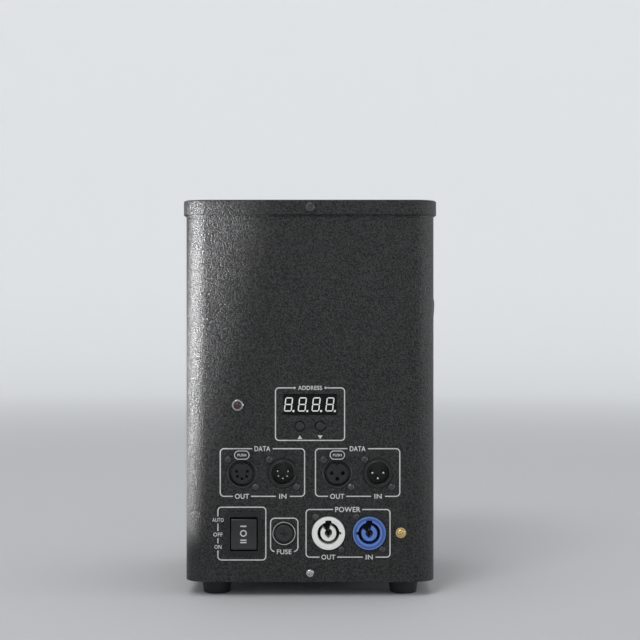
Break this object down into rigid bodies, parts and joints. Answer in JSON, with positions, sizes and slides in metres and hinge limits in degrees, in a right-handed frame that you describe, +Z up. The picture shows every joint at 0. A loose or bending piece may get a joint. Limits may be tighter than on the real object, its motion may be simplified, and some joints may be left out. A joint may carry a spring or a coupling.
{
  "type": "stage flame machine",
  "caption": "Upright black sheet-metal box with an overlapping lid, a round flame port on top, a control panel with sockets in front and a loading door in the side.",
  "frame": {"origin": "on the floor under the middle of the whole machine's box, handle included", "axes": "+Z up, -Y out of the control panel, +X towards the side with the loading door"},
  "size_m": [0.1964, 0.193, 0.292],
  "materials": {
    "powder_coat": "fine sand-textured charcoal powder coat",
    "rubber": "moulded black rubber",
    "steel": "zinc-plated steel",
    "chrome": "polished chrome plate",
    "red_lens": "clear dark red lens",
    "gloss_black": "glossy black moulding",
    "circuit_board": "green solder resist",
    "black_plastic": "fine satin black moulding",
    "white_plastic": "grey-white glass-filled nylon",
    "blue_plastic": "blue glass-filled nylon",
    "glass": "clear glass tube",
    "brass": "bright brass",
    "stainless": "brushed stainless sheet",
    "lead_rubber": "red silicone lead",
    "can_paint": "plain silver lacquered tinplate",
    "ceramic": "glazed white ceramic",
    "print_ink": "white screen print",
    "black_steel": "black-oxide steel screw"
  },
  "bodies": {
    "root": {"base_screw_front": "steel", "base_screw_rear": "steel", "base_tray": "powder_coat", "body_shell": "powder_coat", "can_cradle": "stainless", "control_board": "circuit_board", "data_in_3_socket": "black_plastic", "data_in_5_socket": "black_plastic", "data_out_3_insert": "black_plastic", "data_out_3_shell": "black_plastic", "data_out_5_insert": "black_plastic", "data_out_5_shell": "black_plastic", "display_board": "circuit_board", "display_module": "gloss_black", "earth_screw": "brass", "electrode_left": "ceramic", "electrode_right": "ceramic", "flame_cup": "stainless", "foot_front_left": "rubber", "foot_front_right": "rubber", "foot_rear_left": "rubber", "foot_rear_right": "rubber", "fuel_can": "can_paint", "fuse_holder": "gloss_black", "hinge_pin_lower": "steel", "hinge_pin_upper": "steel", "ignition_module": "black_plastic", "lamp_bezel": "chrome", "lamp_lens": "red_lens", "lead_left": "lead_rubber", "lead_right": "lead_rubber", "lever_bracket": "steel", "lever_pin": "steel", "lid": "powder_coat", "lid_screw_front": "steel", "lid_screw_rear": "steel", "mains_in_core": "blue_plastic", "mains_in_socket": "blue_plastic", "mains_out_core": "white_plastic", "mains_out_socket": "white_plastic", "partition": "stainless", "power_supply": "steel", "rear_cover": "powder_coat", "return_spring": "steel", "rocker_housing": "black_plastic", "solenoid": "steel", "upper_deck": "stainless"},
    "door": {"side_door": "powder_coat"},
    "latch": {"latch_handle": "powder_coat", "latch_cam": "steel"},
    "up_button": {"button_up": "black_plastic"},
    "down_button": {"button_down": "black_plastic"},
    "five_pin_tab": {"data_out_5_tab": "black_plastic"},
    "three_pin_tab": {"data_out_3_tab": "black_plastic"},
    "rocker": {"rocker_cap": "black_plastic"},
    "fuse_carrier": {"glass_fuse": "glass"},
    "fuse_head": {"fuse_cap": "black_plastic"},
    "plunger_core": {"plunger": "steel"},
    "lever": {"press_lever": "steel"},
    "nozzle": {"nozzle_head": "brass"}
  },
  "joints": [
    {"name": "door_hinge", "type": "hinge", "parent": "root", "child": "door", "pos_m": [0.0828, -0.06, 0.134], "axis": [0, 0, -1], "range_deg": [0, 100]},
    {"name": "latch_turn", "type": "hinge", "parent": "door", "child": "latch", "pos_m": [0.0868, 0.045, 0.2055], "axis": [1, 0, 0], "range_deg": [0, 90]},
    {"name": "button_up_press", "type": "slide", "parent": "root", "child": "up_button", "axis": [0, 1, 0], "range_m": [0, 0.0008], "stiffness_N_per_m": 800, "springref_m": -0.0004},
    {"name": "button_down_press", "type": "slide", "parent": "root", "child": "down_button", "axis": [0, 1, 0], "range_m": [0, 0.0008], "stiffness_N_per_m": 800, "springref_m": -0.0004},
    {"name": "tab_5_press", "type": "slide", "parent": "root", "child": "five_pin_tab", "axis": [0, 1, 0], "range_m": [0, 0.0015], "stiffness_N_per_m": 1200, "springref_m": -0.0005},
    {"name": "tab_3_press", "type": "slide", "parent": "root", "child": "three_pin_tab", "axis": [0, 1, 0], "range_m": [0, 0.0015], "stiffness_N_per_m": 1200, "springref_m": -0.0005},
    {"name": "rocker_tilt", "type": "hinge", "parent": "root", "child": "rocker", "pos_m": [-0.0527, -0.09225, 0.0465], "axis": [1, 0, 0], "range_deg": [-9, 9]},
    {"name": "fuse_pull", "type": "slide", "parent": "root", "child": "fuse_carrier", "axis": [0, -1, 0], "range_m": [0, 0.035]},
    {"name": "fuse_cap_turn", "type": "hinge", "parent": "fuse_carrier", "child": "fuse_head", "pos_m": [-0.0233, -0.094, 0.047], "axis": [0, -1, 0], "range_deg": [0, 90]},
    {"name": "plunger_pull", "type": "slide", "parent": "root", "child": "plunger_core", "axis": [0, 0, -1], "range_m": [0, 0.006], "stiffness_N_per_m": 500, "springref_m": -0.006, "deforming": ["return_spring"]},
    {"name": "lever_tilt", "type": "hinge", "parent": "root", "child": "lever", "pos_m": [-0.0042, 0.06, 0.216], "axis": [1, 0, 0], "range_deg": [0, 2.9]},
    {"name": "nozzle_press", "type": "slide", "parent": "root", "child": "nozzle", "axis": [0, 0, -1], "range_m": [0, 0.0031]}
  ],
  "couplings": [
    {"joint": "lever_tilt", "follows": "plunger_pull", "rad_per_m": 8.3333},
    {"joint": "nozzle_press", "follows": "plunger_pull", "ratio": 0.5}
  ]
}
